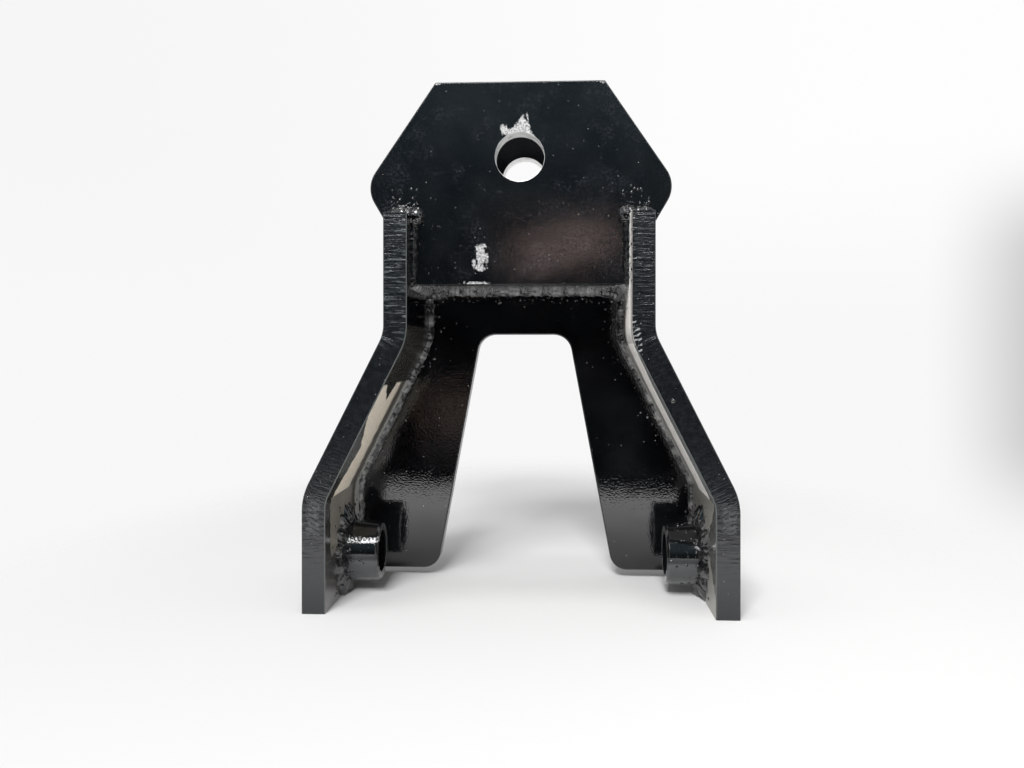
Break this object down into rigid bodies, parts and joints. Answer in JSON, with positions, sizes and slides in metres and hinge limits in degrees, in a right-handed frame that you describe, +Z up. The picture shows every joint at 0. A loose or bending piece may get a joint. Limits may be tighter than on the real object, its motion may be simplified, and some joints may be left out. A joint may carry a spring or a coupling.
{
  "type": "trailer hitch",
  "caption": "Welded steel trailer hitch with bent side plates, pivot bushings at the feet and a pin clevis at the head.",
  "frame": {"origin": "on the plane that the side plates' feet stand on, midway across the hitch and midway between its front and back edges", "axes": "+Z up from the pivot bushings to the clevis, +Y from the front edges to the back along the hitch pin, +X across the hitch along the pivot pins"},
  "size_m": [0.2878, 0.1298, 0.357],
  "materials": {
    "plate_enamel": "gloss black enamel over flame-cut plate",
    "bushing_enamel": "gloss black enamel over turned tube",
    "weld_enamel": "gloss black enamel over rippled weld bead"
  },
  "bodies": {
    "root": {"head_plate": "plate_enamel", "rear_plate": "plate_enamel", "seat_plate": "plate_enamel", "side_plate_right": "plate_enamel", "side_plate_left": "plate_enamel", "bushing_right": "bushing_enamel", "bushing_left": "bushing_enamel", "weld_seat_rear": "weld_enamel", "weld_throat_front": "weld_enamel", "weld_throat_rear": "weld_enamel", "weld_leg_right": "weld_enamel", "weld_leg_left": "weld_enamel", "weld_back_right": "weld_enamel", "weld_back_left": "weld_enamel", "weld_head_right": "weld_enamel", "weld_head_left": "weld_enamel", "weld_cap_right": "weld_enamel", "weld_cap_left": "weld_enamel", "weld_seat_side_right": "weld_enamel", "weld_seat_side_left": "weld_enamel", "weld_ring_right": "weld_enamel", "weld_ring_left": "weld_enamel"}
  },
  "joints": []
}
